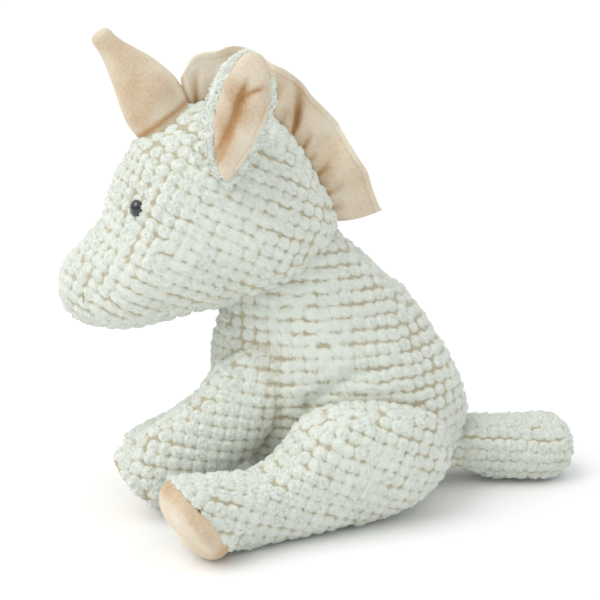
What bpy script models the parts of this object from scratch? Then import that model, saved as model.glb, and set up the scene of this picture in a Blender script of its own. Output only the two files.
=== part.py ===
"""Seated plush unicorn: sewn skins over loose filling, with soft limbs that flex at their seams.

Metres, +Z up. The unicorn faces -Y and sits on Z = 0; its left side is +X. Every sub-part is its own
object. The head, ears, legs and tail are parented to empties that stand on their joint axes.
"""
import math

import bmesh
import bpy
import numpy as np
from mathutils import Matrix, Vector
from mathutils.bvhtree import BVHTree

MM = 0.001

# Driving dimensions, in millimetres.
SKIN = 2.2              # terry cloth with its pile
VELOUR = 1.2            # short-pile velour of the horn, soles, mane and ear linings
GAP = 0.4               # between a skin and the filling behind it
SEAM = 0.3              # half of the gap between two panels at a seam
SEGMENTS = 28           # round a body outline
RINGS = 14              # across a body, side to side
LIMB_SEGMENTS = 14      # round a limb

# Side-view outlines, as (y, z) points that a smooth closed curve runs through.
TORSO_CENTRE = (5.0, 60.0)
TORSO_OUTLINE = [(-53, 98), (-58, 78), (-59, 60), (-54, 42), (-41, 24), (-18, 8), (10, -1), (42, -1), (60, 9),
                 (69, 26), (70, 44), (65, 62), (55, 80), (43, 97), (27, 113), (8, 133), (-6, 150), (-24, 162),
                 (-46, 160), (-60, 141), (-59, 118)]
TORSO_HALF_WIDTH = 40.0
NECK_NARROWING = 0.2    # share of the width that the torso loses at the neck
HEAD_CENTRE = (-62.0, 140.0)
HEAD_OUTLINE = [(-131.5, 107), (-129, 120), (-120, 131), (-110, 143), (-106, 157), (-98, 172), (-91, 182),
                (-79, 190), (-67, 196.5), (-52, 199), (-37, 196), (-24, 188), (-13, 175), (-5, 161), (1, 149),
                (4, 136), (-6, 114), (-30, 99), (-54, 96), (-78, 90.5), (-102, 85.5), (-118, 88), (-128, 96)]
HEAD_HALF_WIDTH = 45.0
MUZZLE_NARROWING = 0.36

# Neck: the torso's filling ends in a round core that the head nods on.
NECK = (-24.2, 117.8)           # joint axis, parallel to X
NECK_RADIUS = 28.5
NECK_HALF_WIDTH = 20.5
NECK_CLEARANCE = 0.6
NECK_SLOPE = math.radians(34.9)  # of the seam plane above the horizontal, rising towards the back
NECK_RELIEF = 3.6               # from the seam plane to each skin's edge, so that the head can nod

# Head panels.
GUSSET_HALF_WIDTH = 9.0
GUSSET_FOOT = 106.0             # height of the gusset's lower end, at the nose
NAPE_SEAM = -44.0               # y of the seam between face and nape panels

# Shoulders: pockets in the torso that the front legs turn in.
SHOULDER = (-42.0, 53.0)
SHOULDER_RADIUS = 19.4          # of the leg's round root
SHOULDER_POCKET = 21.0
WEB_HALF_WIDTH = 13.0           # of the torso left standing between the front legs
FRONT_LEG_X = 28.0
FRONT_LEG_HALF_WIDTH = 12.8
# Each limb station: centre y, centre z, height radius, and share of the limb's width.
FRONT_LEG = [(-54, 48, 19.2, 1.0), (-68, 41, 18.6, 0.98), (-82, 30.5, 18.4, 0.96), (-92, 20, 18.4, 0.98),
             (-95.8, 15.6, 17.6, 0.97)]
ROOT_ANGLES = (6, 30, 58, 86)   # where the rings of a round root stand, in degrees from its back

# Hips: the hind legs turn against the torso's flat-sewn sides.
HIP = (24.0, 27.0)
HIP_X = 41.0                    # of the torso's side, which the thigh lies against
# Each hind station: centre x, y, z, height radius, width radius.
HIND_LEG = [(50.5, 55.5, 26, 1.5, 1.2), (51, 54, 26, 11, 6.5), (51.8, 47, 26.5, 19.5, 9.6),
            (52.6, 36, 27.2, 25.6, 11.2), (53.8, 22, 27.4, 27.4, 12.4), (56.6, 4, 25.5, 25.4, 15),
            (60.6, -15, 21.8, 21.6, 18.4), (66, -32, 18.8, 18.6, 17.6), (72.4, -48, 19.2, 19, 17.6),
            (79.2, -71, 19.4, 20.6, 18)]
SOLE_TILT = math.radians(35)    # the hind sole faces forwards and this much down

TAIL_HINGE = (71.0, 20.0)
TAIL_SOCKET = 16.3
TAIL = [(56.2, 20, 1.5), (58.6, 20, 9.4), (64, 20, 13.8), (71, 20, 15.4), (80, 19.6, 16.2), (94, 18.8, 17.6),
        (108, 18.6, 18.6), (119, 18.6, 17.4), (127, 18.6, 12), (130.6, 18.6, 4.5)]
TAIL_WIDTH = 1.02

HORN_BASE = (-79.6, 191.2)
HORN_TIP = (-108.6, 231.8)
# Along the horn as a share of its length, radius, and shift towards the back.
HORN = [(0.0, 15.2, 0.0), (0.12, 15.4, 0.5), (0.28, 14.6, 1.2), (0.45, 12.4, 1.4), (0.62, 9.6, 1.0),
        (0.78, 6.9, 0.4), (0.88, 5.9, 0.0), (0.96, 4.9, 0.0), (1.0, 2.4, 0.0)]

# Mane: middle line of the band, then its half height.
MANE = [(-65, 212, 3), (-62, 212, 7.5), (-53, 213.2, 10.4), (-36, 211.4, 11.4), (-21, 203.4, 11.4),
        (-9.6, 190.8, 11.2), (0.6, 176.6, 11), (8.6, 162, 10.6), (14.6, 148.6, 9.4), (17.6, 141.4, 7),
        (18.6, 138.6, 2.5)]
MANE_PLY = 3.6

EAR_X = 48.6
EAR_HINGE_Z = 171.0
EAR_CENTRE = (-44.0, 196.0)
EAR_OUTLINE = [(-51, 168.5), (-56, 176), (-59, 188), (-58, 205), (-52, 218), (-43, 227), (-35, 219),
               (-30, 206), (-31, 192), (-38, 178), (-45, 169.5)]
EAR_HALF_THICKNESS = 4.6
EAR_LEAN = math.radians(4)

EYE = (-92.6, 152.5)
EYE_RADIUS = 4.0
STEM_RADIUS = 1.5
WASHER_RADIUS = 6.0
WASHER_TOP = 4.0        # depth of the washer under the eye's rim
WASHER_THICKNESS = 1.4

FLOOR = 0.0             # height of the lowest skins
FAR = 300.0             # past every part
PELLET_TOP = 20.0       # level of the pellet bag under the filling

COLOURS = {
    "terry": (0.62, 0.64, 0.56), "velour": (0.60, 0.50, 0.37), "filling": (0.86, 0.86, 0.84),
    "eye": (0.02, 0.02, 0.022), "washer": (0.75, 0.75, 0.73), "bag": (0.70, 0.68, 0.62),
}
ROUGHNESS = {"terry": 0.95, "velour": 0.85, "filling": 1.0, "eye": 0.08, "washer": 0.5, "bag": 0.9}


def collection(name):
    made = bpy.data.collections.new(name)
    bpy.context.scene.collection.children.link(made)
    return made


for old in list(bpy.data.objects):
    bpy.data.objects.remove(old, do_unlink=True)
PLUSH = collection("plush_unicorn")


# Smooth curves and bodies ------------------------------------------------------------------------

def closed_curve(points, steps=8):
    """A Catmull-Rom curve through the points, closed on itself."""
    ring = np.array(points, float)
    around = np.roll(ring, 1, 0), ring, np.roll(ring, -1, 0), np.roll(ring, -2, 0)
    samples = []
    for step in range(steps):
        t = step / steps
        samples.append(0.5 * (2 * around[1] + (around[2] - around[0]) * t
                              + (2 * around[0] - 5 * around[1] + 4 * around[2] - around[3]) * t ** 2
                              + (3 * around[1] - around[0] - 3 * around[2] + around[3]) * t ** 3))
    return np.stack(samples, 1).reshape(-1, 2)


def radius_by_angle(outline, centre):
    """A function that gives the outline's distance from its centre at an angle about X."""
    curve = closed_curve(outline) - np.array(centre)
    angles = np.arctan2(curve[:, 1], curve[:, 0])
    order = np.argsort(angles)
    angles, radii = angles[order], np.hypot(curve[:, 0], curve[:, 1])[order]
    return lambda angle: float(np.interp(angle, angles, radii, period=math.tau))


def pillow(outline, centre, width_at, x=0.0, fullness=0.86, segments=SEGMENTS, rings=RINGS, floor=None):
    """A round body with the outline as its equator; width_at(y, z) is its half width in x."""
    radius = radius_by_angle(outline, centre)
    bm = bmesh.new()
    bmesh.ops.create_uvsphere(bm, u_segments=segments, v_segments=rings, radius=1.0)
    bmesh.ops.rotate(bm, verts=bm.verts, matrix=Matrix.Rotation(math.radians(90), 3, "Y"))
    for vert in bm.verts:
        across, y, z = vert.co
        angle = math.atan2(z, y)
        reach = radius(angle) * min(1.0, math.hypot(y, z)) ** fullness
        y, z = centre[0] + reach * math.cos(angle), centre[1] + reach * math.sin(angle)
        if floor is not None:
            z = max(z, floor)
        vert.co = Vector((x + across * width_at(y, z), y, z)) * MM
    bmesh.ops.recalc_face_normals(bm, faces=bm.faces)
    bmesh.ops.triangulate(bm, faces=bm.faces)
    return bm


def full(share, power=0.85):
    """Squares a circle's sine or cosine a little, as stuffing does."""
    return math.copysign(abs(share) ** power, share)


def loft(stations, segments=LIMB_SEGMENTS, capped=True, end_normal=None, floor=None):
    """Elliptical rings along a path, joined; a station is its centre, height radius and width radius."""
    bm = bmesh.new()
    centres = [Vector(station[0]) for station in stations]
    rings = []
    for index, (centre, high, wide) in enumerate(stations):
        before, after = centres[max(index - 1, 0)], centres[min(index + 1, len(centres) - 1)]
        along = (after - before).normalized()
        if end_normal is not None and index == len(stations) - 1:
            along = Vector(end_normal).normalized()
        across = Vector((1, 0, 0)) - along * along.x
        across.normalize()
        up = across.cross(along)
        ring = []
        for step in range(segments):
            angle = math.tau * step / segments
            sideways, upward = full(math.cos(angle)), full(math.sin(angle))
            point = Vector(centre) + across * wide * sideways + up * high * upward
            if floor is not None:
                point.z = max(point.z, floor)
            ring.append(bm.verts.new(point * MM))
        rings.append(ring)
    for first, second in zip(rings, rings[1:]):
        for step in range(segments):
            nxt = (step + 1) % segments
            bm.faces.new((first[step], first[nxt], second[nxt], second[step]))
    if capped:
        bm.faces.new(rings[0])
        bm.faces.new(rings[-1])
    else:
        bm.faces.new(rings[0])
    bmesh.ops.recalc_face_normals(bm, faces=bm.faces)
    bmesh.ops.triangulate(bm, faces=bm.faces)
    return bm


def shrink(bm, depth):
    """Moves every point inwards along its normal."""
    bm.normal_update()
    moves = [(vert, vert.normal.copy()) for vert in bm.verts]
    for vert, normal in moves:
        vert.co -= normal * depth * MM


def trim(bm, point, normal, cap=True):
    """Cuts off what lies on the normal's side of a plane, and closes the cut."""
    geometry = bm.verts[:] + bm.edges[:] + bm.faces[:]
    bmesh.ops.bisect_plane(bm, geom=geometry, plane_co=Vector(point) * MM, plane_no=Vector(normal),
                           clear_outer=True, dist=1e-7)
    if cap:
        close_holes(bm)


def close_holes(bm):
    rim = [edge for edge in bm.edges if edge.is_boundary]
    bmesh.ops.holes_fill(bm, edges=rim, sides=0)
    bmesh.ops.recalc_face_normals(bm, faces=bm.faces)


NECK_NORMAL = Vector((0, -math.sin(NECK_SLOPE), math.cos(NECK_SLOPE)))


def neck_plane(height):
    return Vector((0, *NECK)) + NECK_NORMAL * height


# Objects, materials, joints -----------------------------------------------------------------------

def material(slot):
    made = bpy.data.materials.get(slot)
    if made is None:
        made = bpy.data.materials.new(slot)
        made.use_nodes = True
        shader = made.node_tree.nodes["Principled BSDF"]
        shader.inputs["Base Color"].default_value = (*COLOURS[slot], 1)
        shader.inputs["Roughness"].default_value = ROUGHNESS[slot]
        shader.inputs["Metallic"].default_value = 0.0
    return made


def joint_empty(name, x, y, z, parent=None):
    empty = bpy.data.objects.new(name, None)
    empty.empty_display_size = 0.01
    empty.location = Vector((x, y, z)) * MM
    PLUSH.objects.link(empty)
    if parent is not None:
        empty.location -= parent.location
        empty.parent = parent
    return empty


def world_place(joint):
    """Where a joint's empty stands, with its parents."""
    place = Vector()
    while joint is not None:
        place += joint.location
        joint = joint.parent
    return place


def add_part(name, bm, slot, joint, thickness=None):
    """Makes an object from a mesh given in the part's frame; a thickness makes it a skin."""
    bmesh.ops.translate(bm, verts=bm.verts, vec=-world_place(joint))
    mesh = bpy.data.meshes.new(name)
    bm.to_mesh(mesh)
    bm.free()
    mesh.materials.append(material(slot))
    mesh.shade_smooth()
    made = bpy.data.objects.new(name, mesh)
    PLUSH.objects.link(made)
    made.parent = joint
    if thickness is not None:
        skin = made.modifiers.new("cloth", "SOLIDIFY")
        skin.thickness = thickness * MM
        skin.offset = -1
    return made


def carve(target, shapes):
    """Cuts closed shapes, given in the part's frame, out of an object, once its cloth is made."""
    bpy.context.view_layer.update()
    for bm in shapes:
        mesh = bpy.data.meshes.new("cutter")
        bm.to_mesh(mesh)
        cutter = bpy.data.objects.new("cutter", mesh)
        PLUSH.objects.link(cutter)
        cut = target.modifiers.new("cut", "BOOLEAN")
        cut.operation = "DIFFERENCE"
        cut.object = cutter
        bpy.context.view_layer.update()
        solved = bpy.data.meshes.new_from_object(target.evaluated_get(bpy.context.evaluated_depsgraph_get()))
        target.modifiers.clear()
        target.data = solved
        bpy.data.objects.remove(cutter, do_unlink=True)


def rounded(centre, half_width, radius, segments=24):
    """A body turned about an axis parallel to X."""
    bm = bmesh.new()
    bmesh.ops.create_uvsphere(bm, u_segments=segments, v_segments=segments // 2, radius=1.0)
    bmesh.ops.rotate(bm, verts=bm.verts, matrix=Matrix.Rotation(math.radians(90), 3, "Y"))
    for vert in bm.verts:
        vert.co = Vector((vert.co.x * half_width, centre[0] + vert.co.y * radius,
                          centre[1] + vert.co.z * radius)) * MM
    return bm


def cylinder(start, end, radius, segments=16):
    """A round bar between two points."""
    start, end = Vector(start), Vector(end)
    axis = end - start
    bm = bmesh.new()
    turn = axis.to_track_quat("Z", "Y").to_matrix().to_4x4()
    place = Matrix.Translation((start + end) / 2 * MM) @ turn
    bmesh.ops.create_cone(bm, cap_ends=True, segments=segments, radius1=radius * MM, radius2=radius * MM,
                          depth=axis.length * MM, matrix=place)
    return bm


def box(low, high):
    bm = bmesh.new()
    low, high = Vector(low), Vector(high)
    size = high - low
    bmesh.ops.create_cube(bm, size=1.0)
    for vert in bm.verts:
        vert.co = Vector(((vert.co[i] + 0.5) * size[i] + low[i]) * MM for i in range(3))
    return bm


BODY = joint_empty("body_origin", 0, 0, 0)
NOD = joint_empty("neck_axis", 0, *NECK, parent=BODY)


# Torso --------------------------------------------------------------------------------------------

def torso_width(y, z):
    rise = min(max((z - 60) / (NECK[1] - 60), 0), 1.2)
    return TORSO_HALF_WIDTH * (1 - NECK_NARROWING * rise * rise * (3 - 2 * min(rise, 1)))


def torso_form():
    return pillow(TORSO_OUTLINE, TORSO_CENTRE, torso_width, floor=FLOOR)


def torso_pockets(side):
    """The room that a front leg and the tail need beside the torso."""
    inner, outer = side * WEB_HALF_WIDTH, side * (TORSO_HALF_WIDTH + 10)
    low, high = min(inner, outer), max(inner, outer)
    shoulder = cylinder((inner, *SHOULDER), (outer, *SHOULDER), SHOULDER_POCKET, 32)
    below = box((low, SHOULDER[0] - 40, SHOULDER[1] - 70), (high, SHOULDER[0] + 6, SHOULDER[1] - 4))
    return [shoulder, below]


def tail_socket():
    return rounded(TAIL_HINGE, TAIL_SOCKET + 0.6, TAIL_SOCKET)


def build_torso():
    for name, side in (("left", 1), ("right", -1)):
        bm = torso_form()
        trim(bm, neck_plane(-NECK_RELIEF), NECK_NORMAL, cap=False)
        skin = add_part(f"torso_skin_{name}", bm, "terry", BODY, SKIN)
        carve(skin, [beyond(0, -side, side * SEAM), *torso_pockets(side), tail_socket()])

    bm = torso_form()
    shrink(bm, SKIN + GAP)
    trim(bm, neck_plane(-NECK_RELIEF - 0.6), NECK_NORMAL)
    trim(bm, (0, 0, PELLET_TOP + SEAM), (0, 0, -1))
    filling = add_part("torso_filling", bm, "filling", BODY)
    join_neck_core(filling)
    carve(filling, [*torso_pockets(1), *torso_pockets(-1), tail_socket()])

    bm = torso_form()
    shrink(bm, SKIN + GAP)
    trim(bm, (0, 0, PELLET_TOP - SEAM), (0, 0, 1))
    bag = add_part("pellet_bag", bm, "bag", BODY)
    carve(bag, [*torso_pockets(1), *torso_pockets(-1), tail_socket()])


def join_neck_core(filling):
    """Adds the round core that stands up from the torso's filling into the head."""
    mesh = bpy.data.meshes.new("neck_core")
    rounded(NECK, NECK_HALF_WIDTH, NECK_RADIUS, 28).to_mesh(mesh)
    core = bpy.data.objects.new("neck_core", mesh)
    PLUSH.objects.link(core)
    join = filling.modifiers.new("join", "BOOLEAN")
    join.operation = "UNION"
    join.object = core
    bpy.context.view_layer.update()
    solved = bpy.data.meshes.new_from_object(filling.evaluated_get(bpy.context.evaluated_depsgraph_get()))
    filling.modifiers.clear()
    filling.data = solved
    bpy.data.objects.remove(core, do_unlink=True)


# Head ---------------------------------------------------------------------------------------------

def head_width(y, z):
    forward = min(max((-84 - y) / 44, 0), 1)
    return HEAD_HALF_WIDTH * (1 - MUZZLE_NARROWING * forward * forward * (3 - 2 * forward))


def head_form():
    bm = pillow(HEAD_OUTLINE, HEAD_CENTRE, head_width, segments=32, rings=16)
    return bm


def eye_axis(side):
    """The point on the head where an eye sits, and the way it looks."""
    bm = head_form()
    tree = BVHTree.FromBMesh(bm)
    start = Vector((side * 80, *EYE)) * MM
    place, normal, _, _ = tree.ray_cast(start, Vector((-side, 0, 0)))
    bm.free()
    return place / MM, normal.normalized()


def head_panel(name, waste):
    """One panel of the head's skin: the whole skin, open at the neck, less what other panels cover."""
    bm = head_form()
    trim(bm, neck_plane(NECK_RELIEF), -NECK_NORMAL, cap=False)
    panel = add_part(name, bm, "terry", NOD, SKIN)
    carve(panel, waste)
    return panel


def beyond(axis, side, start):
    """A block that covers everything past a plane across the x or y axis."""
    low, high = [-FAR, -FAR, -FAR], [FAR, FAR, FAR]
    if side > 0:
        low[axis] = start
    else:
        high[axis] = start
    return box(low, high)


def build_head():
    front, rear = NAPE_SEAM - SEAM, NAPE_SEAM + SEAM
    edge = GUSSET_HALF_WIDTH + SEAM
    for name, side in (("left", 1), ("right", -1)):
        place, normal = eye_axis(side)
        stem_hole = cylinder(place - normal * 12, place + normal * 4, STEM_RADIUS + 0.5)
        gusset_room = box((-edge, -FAR, GUSSET_FOOT - SEAM), (edge, FAR, FAR))
        head_panel(f"face_panel_{name}", [beyond(0, -side, side * SEAM), beyond(1, 1, front), gusset_room,
                                          stem_hole])
        head_panel(f"nape_panel_{name}", [beyond(0, -side, side * SEAM), beyond(1, -1, rear)])
    head_panel("forehead_gusset", [beyond(0, 1, GUSSET_HALF_WIDTH), beyond(0, -1, -GUSSET_HALF_WIDTH),
                                   beyond(1, 1, front), box((-FAR, -FAR, -FAR), (FAR, FAR, GUSSET_FOOT))])

    bm = head_form()
    shrink(bm, SKIN + GAP)
    trim(bm, neck_plane(NECK_RELIEF), -NECK_NORMAL)
    filling = add_part("head_filling", bm, "filling", NOD)
    pockets = [rounded(NECK, NECK_HALF_WIDTH + NECK_CLEARANCE, NECK_RADIUS + NECK_CLEARANCE, 28)]
    for side in (1, -1):
        place, normal = eye_axis(side)
        pockets.append(cylinder(place - normal * (WASHER_TOP + WASHER_THICKNESS + 0.5), place + normal * 6,
                                WASHER_RADIUS + 0.6, 20))
        pockets.append(cylinder(place - normal * 12, place, STEM_RADIUS + 0.5))
    carve(filling, pockets)


def turned(place, axis, profile, segments=16):
    """A solid turned about an axis: the profile is depth along the axis and radius."""
    bm = bmesh.new()
    turn = Vector(axis).to_track_quat("Z", "Y").to_matrix()
    rings = []
    for depth, radius in profile:
        circle = bmesh.ops.create_circle(bm, segments=segments, radius=radius * MM, cap_ends=False)["verts"]
        bmesh.ops.transform(bm, verts=circle, matrix=Matrix.Translation(Vector(place) * MM) @ turn.to_4x4()
                            @ Matrix.Translation((0, 0, depth * MM)))
        rings.append(circle)
    for first, second in zip(rings, rings[1:]):
        for step in range(segments):
            nxt = (step + 1) % segments
            bm.faces.new((first[step], first[nxt], second[nxt], second[step]))
    bm.faces.new(rings[0])
    bm.faces.new(rings[-1])
    bmesh.ops.recalc_face_normals(bm, faces=bm.faces)
    return bm


def build_eyes():
    for name, side in (("left", 1), ("right", -1)):
        place, normal = eye_axis(side)
        lift = 0.8      # the dome's rim stands on the pile
        profile = [(-11.5, STEM_RADIUS * 0.6), (-10.5, STEM_RADIUS), (lift - 0.1, STEM_RADIUS),
                   (lift, EYE_RADIUS - 0.1), (lift + 0.5, EYE_RADIUS), (lift + 1.6, EYE_RADIUS * 0.86),
                   (lift + 2.5, EYE_RADIUS * 0.56), (lift + 2.9, EYE_RADIUS * 0.2)]
        add_part(f"eye_{name}", turned(place, normal, profile), "eye", NOD)
        washer = turned(place, normal, [(-WASHER_TOP - WASHER_THICKNESS, WASHER_RADIUS),
                                        (-WASHER_TOP, WASHER_RADIUS)], 18)
        ring = add_part(f"eye_washer_{name}", washer, "washer", NOD)
        carve(ring, [cylinder(place - normal * 12, place, STEM_RADIUS + 0.4, 18)])


# Horn, mane and ears --------------------------------------------------------------------------------

def horn_stations(inset=0.0, lift=0.4):
    base, tip = Vector((0, *HORN_BASE)), Vector((0, *HORN_TIP))
    axis = (tip - base).normalized()
    back = Vector((0, axis.z, -axis.y))
    length = (tip - base).length
    stations = []
    for share, radius, shift in HORN:
        along = lift + share * (length - lift - inset)
        stations.append((base + axis * along + back * shift, radius - inset, radius - inset))
    return stations


def build_horn():
    stations = horn_stations()
    bm = loft(list(reversed(stations)), capped=False)
    add_part("horn_skin", bm, "velour", NOD, VELOUR)
    bm = loft(horn_stations()[:-1])
    shrink(bm, VELOUR + GAP)
    trim(bm, Vector((0, *HORN_BASE)) + (Vector((0, *HORN_TIP)) - Vector((0, *HORN_BASE))) * 0.04,
         -(Vector((0, *HORN_TIP)) - Vector((0, *HORN_BASE))).normalized())
    add_part("horn_filling", bm, "filling", NOD)


def build_mane():
    for name, side in (("left", 1), ("right", -1)):
        stations = [(Vector((0, y, z)), high, MANE_PLY * min(1, high / 7)) for y, z, high in MANE]
        bm = loft(stations, segments=12)
        trim(bm, (side * SEAM, 0, 0), (-side, 0, 0))
        add_part(f"mane_ply_{name}", bm, "velour", NOD)


def build_ears():
    for name, side in (("left", 1), ("right", -1)):
        hinge = joint_empty(f"ear_axis_{name}", side * EAR_X, EAR_CENTRE[0] - 4, EAR_HINGE_Z, parent=NOD)
        lean = Matrix.Rotation(side * EAR_LEAN, 3, "Y")
        centre = Vector((side * EAR_X, EAR_CENTRE[0], EAR_HINGE_Z)) * MM
        for piece, outward, slot in (("lining", side, "velour"), ("back", -side, "terry")):
            bm = pillow(EAR_OUTLINE, EAR_CENTRE, lambda y, z: EAR_HALF_THICKNESS, x=side * EAR_X,
                        fullness=0.7, segments=22, rings=8)
            trim(bm, (side * EAR_X + outward * SEAM / 2, 0, 0), (-outward, 0, 0))
            bmesh.ops.rotate(bm, cent=centre, matrix=lean, verts=bm.verts)
            add_part(f"ear_{piece}_{name}", bm, slot, hinge)


# Legs and tail --------------------------------------------------------------------------------------

def sole_disc(centre, normal, high, wide, thickness):
    """A puffed velour disc that closes a leg's end."""
    normal = Vector(normal).normalized()
    stations = [(centre - normal * 0.0, high, wide), (centre + normal * thickness * 0.6, high, wide),
                (centre + normal * thickness, high * 0.8, wide * 0.8)]
    return loft(stations, end_normal=normal)


def leg_pieces(name, stations, end_normal, joint):
    """A leg's terry skin, its filling and its velour sole, which closes the skin's lower end."""
    end_normal = Vector(end_normal).normalized()
    bm = loft(stations, capped=False, end_normal=end_normal, floor=FLOOR)
    centre, high, wide = stations[-1]
    skin = add_part(f"{name}_skin", bm, "terry", joint, SKIN)
    carve(skin, [cylinder(centre - end_normal * 0.1, centre + end_normal * 20, 2 * high, 24)])

    bm = loft(stations, capped=False, end_normal=end_normal, floor=FLOOR)
    shrink(bm, SKIN + GAP)
    close_holes(bm)
    trim(bm, centre, end_normal)
    add_part(f"{name}_filling", bm, "filling", joint)

    disc = sole_disc(centre + end_normal * SEAM, end_normal, high - 0.6, wide - 0.6, 2.6)
    for vert in disc.verts:
        vert.co.z = max(vert.co.z, FLOOR)
    add_part(f"{name}_sole", disc, "velour", joint)


def build_legs():
    for name, side in (("left", 1), ("right", -1)):
        shoulder = joint_empty(f"shoulder_axis_{name}", side * FRONT_LEG_X, *SHOULDER, parent=BODY)
        root = [(SHOULDER[0] + SHOULDER_RADIUS * math.cos(math.radians(turn)), SHOULDER[1],
                 SHOULDER_RADIUS * math.sin(math.radians(turn)), math.sin(math.radians(turn)) ** 0.7)
                for turn in ROOT_ANGLES]
        stations = [(Vector((side * FRONT_LEG_X, y, z)), high, FRONT_LEG_HALF_WIDTH * wide)
                    for y, z, high, wide in root + FRONT_LEG]
        leg_pieces(f"front_leg_{name}", stations, (0, -0.72, -0.69), shoulder)

        hip = joint_empty(f"hip_axis_{name}", side * HIP_X, *HIP, parent=BODY)
        stations = [(Vector((side * x, y, z)), high, wide) for x, y, z, high, wide in HIND_LEG]
        facing = (side * 0.2, -math.cos(SOLE_TILT), -math.sin(SOLE_TILT))
        leg_pieces(f"hind_leg_{name}", stations, facing, hip)


def build_tail():
    hinge = joint_empty("tail_axis", 0, *TAIL_HINGE, parent=BODY)
    stations = [(Vector((0, y, z)), high, high * TAIL_WIDTH) for y, z, high in TAIL]
    bm = loft(list(reversed(stations))[:-1], capped=False, floor=FLOOR)
    add_part("tail_skin", bm, "terry", hinge, SKIN)
    bm = loft(stations, floor=FLOOR)
    shrink(bm, SKIN + GAP)
    add_part("tail_filling", bm, "filling", hinge)


build_torso()
build_head()
build_eyes()
build_horn()
build_mane()
build_ears()
build_legs()
build_tail()
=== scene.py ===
# %% [markdown]
# # A stuffed terry unicorn
# The toy is sewn from white bobbled terry and peach velour over loose filling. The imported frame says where
# every part is and how it moves. This lesson gives those parts their cloth: pieces that swell between their
# seams, bobbles and curls of wool on them, a gathered mane, folded ears, and two polished eyes.

import math

import bpy
import numpy as np
from mathutils import Matrix, Vector
from mathutils.bvhtree import BVHTree
from mathutils.kdtree import KDTree


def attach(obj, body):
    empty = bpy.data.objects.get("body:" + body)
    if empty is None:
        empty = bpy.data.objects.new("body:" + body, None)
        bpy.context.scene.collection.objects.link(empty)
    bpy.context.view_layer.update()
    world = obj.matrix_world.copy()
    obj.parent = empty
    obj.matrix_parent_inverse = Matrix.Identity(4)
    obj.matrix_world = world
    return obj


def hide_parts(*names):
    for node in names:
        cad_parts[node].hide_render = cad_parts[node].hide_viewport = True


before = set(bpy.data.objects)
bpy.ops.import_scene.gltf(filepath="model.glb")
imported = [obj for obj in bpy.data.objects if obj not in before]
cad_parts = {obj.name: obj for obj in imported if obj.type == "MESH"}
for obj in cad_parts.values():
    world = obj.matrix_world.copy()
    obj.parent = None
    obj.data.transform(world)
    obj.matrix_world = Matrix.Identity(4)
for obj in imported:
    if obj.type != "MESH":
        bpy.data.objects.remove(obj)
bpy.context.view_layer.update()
MM = 0.001                      # sizes below are in millimetres, and the scene is in metres
scene = bpy.context.scene

# %% [markdown]
# ## Camera, floor and light
# The toy sits on white paper and is seen from its left side, a little from the front and from above its knees.
# The camera stands close, so the near foot is clearly larger than the far one. Lamps close by could light it
# too, but their light falls off across the toy. A pale sky with two very wide sun lamps gives the even light and
# the soft-edged shadows of a room with large windows.

# %% Camera
AIM = Vector((0.0, -0.0134, 0.0986))
STAND = Vector((0.6464, -0.0814, 0.27))
FOCAL_MM, SENSOR_MM = 80.6, 36.0
camera_data = bpy.data.cameras.new("camera")
camera_data.lens = FOCAL_MM
camera_data.sensor_width = SENSOR_MM
camera = bpy.data.objects.new("camera", camera_data)
camera.location = STAND
camera.rotation_euler = (AIM - STAND).to_track_quat("-Z", "Y").to_euler()
scene.collection.objects.link(camera)
scene.camera = camera
print("camera stands", round((STAND - AIM).length, 3), "m away")

# %% Floor and sky
SKY_STRENGTH = 0.7
bpy.ops.mesh.primitive_plane_add(size=30.0, location=(0, 0, 0))
floor = bpy.context.active_object
floor.name = "floor"
paper = bpy.data.materials.new("white_paper")         # matt, so it mirrors nothing
paper.use_nodes = True
paper.node_tree.nodes["Principled BSDF"].inputs["Base Color"].default_value = (0.96, 0.96, 0.96, 1)
paper.node_tree.nodes["Principled BSDF"].inputs["Roughness"].default_value = 0.9
floor.data.materials.append(paper)

world = bpy.data.worlds.new("studio")
scene.world = world
world.use_nodes = True
world.node_tree.nodes["Background"].inputs["Color"].default_value = (0.975, 1.0, 0.995, 1)
world.node_tree.nodes["Background"].inputs["Strength"].default_value = SKY_STRENGTH

# %% Lamps


def soft_lamp(name, place, strength, spread):
    """A far, wide lamp: even light with soft-edged shadows."""
    lamp = bpy.data.lights.new(name, "SUN")
    lamp.energy = strength
    lamp.angle = math.radians(spread)
    holder = bpy.data.objects.new(name, lamp)
    holder.location = place
    holder.rotation_euler = (-Vector(place)).to_track_quat("-Z", "Y").to_euler()
    scene.collection.objects.link(holder)


soft_lamp("key_lamp", (0.3, -0.9, 1.15), 1.35, 50)
soft_lamp("top_lamp", (0.2, 0.2, 1.5), 0.4, 80)
print("lamps:", [lamp.name for lamp in bpy.data.lights])
scene.view_settings.view_transform = "Standard"

# %% [markdown]
# ## Colours and materials
# The skin is polyester terry, knitted in rows of bobbles whose loops are brushed into curls. It scatters light
# in every direction and lets some wander through the loops, so it is rough, a little translucent, and has a
# sheen where fibres stand out against the edge. The bobbles are off-white, and shade is painted into the colour,
# darker and warmer down in the hollows between them. A flat pattern could paint that, but it would slide over
# the bobbles. So each piece carries the height of its pile in an attribute, and the painted shade follows the
# surface. The rest is cut velour.

# %% Colour and node helpers
PILE_DEPTH_MM = 1.5             # how far light wanders in the loops
PILE_TINT = (1.0, 0.93, 0.82)   # red light wanders furthest


def linear(code):
    """An sRGB hex colour as linear values."""
    values = [int(code[i:i + 2], 16) / 255 for i in (1, 3, 5)]
    return tuple(v / 12.92 if v <= 0.04045 else ((v + 0.055) / 1.055) ** 2.4 for v in values) + (1.0,)


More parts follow.
